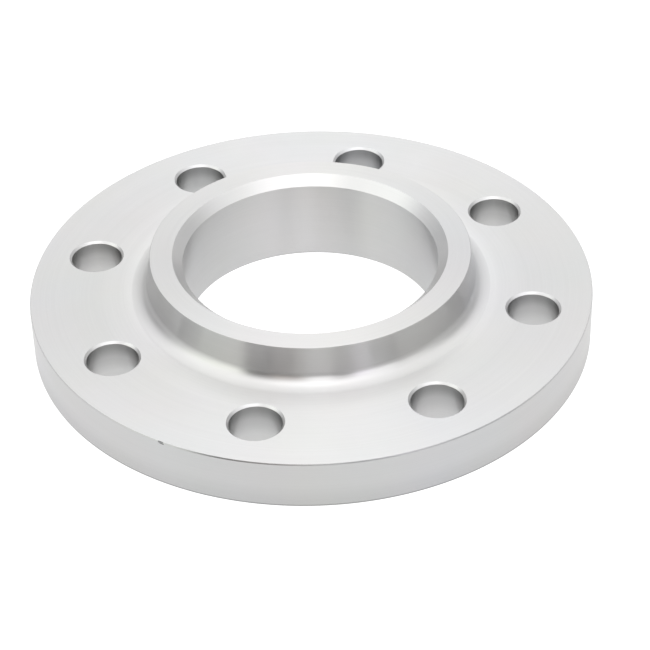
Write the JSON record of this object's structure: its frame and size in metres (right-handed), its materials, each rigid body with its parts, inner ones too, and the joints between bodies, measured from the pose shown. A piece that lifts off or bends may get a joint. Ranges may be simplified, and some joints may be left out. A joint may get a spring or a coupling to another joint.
{
  "type": "hubbed slip-on flange",
  "caption": "Round steel pipe flange with a short filleted hub, a plain through bore bevelled for welding at the hub end, a raised gasket face and a ring of bolt holes.",
  "frame": {"origin": "centre of the raised gasket face, the lowest plane of the flange as it lies on a bench", "axes": "+Z along the bore, from the gasket face towards the hub; the X and Y axes pass midway between bolt holes"},
  "size_m": [0.2, 0.2, 0.034],
  "materials": {
    "machined_steel": "satin, fine turned"
  },
  "bodies": {
    "root": {"flange": "machined_steel"}
  },
  "joints": []
}
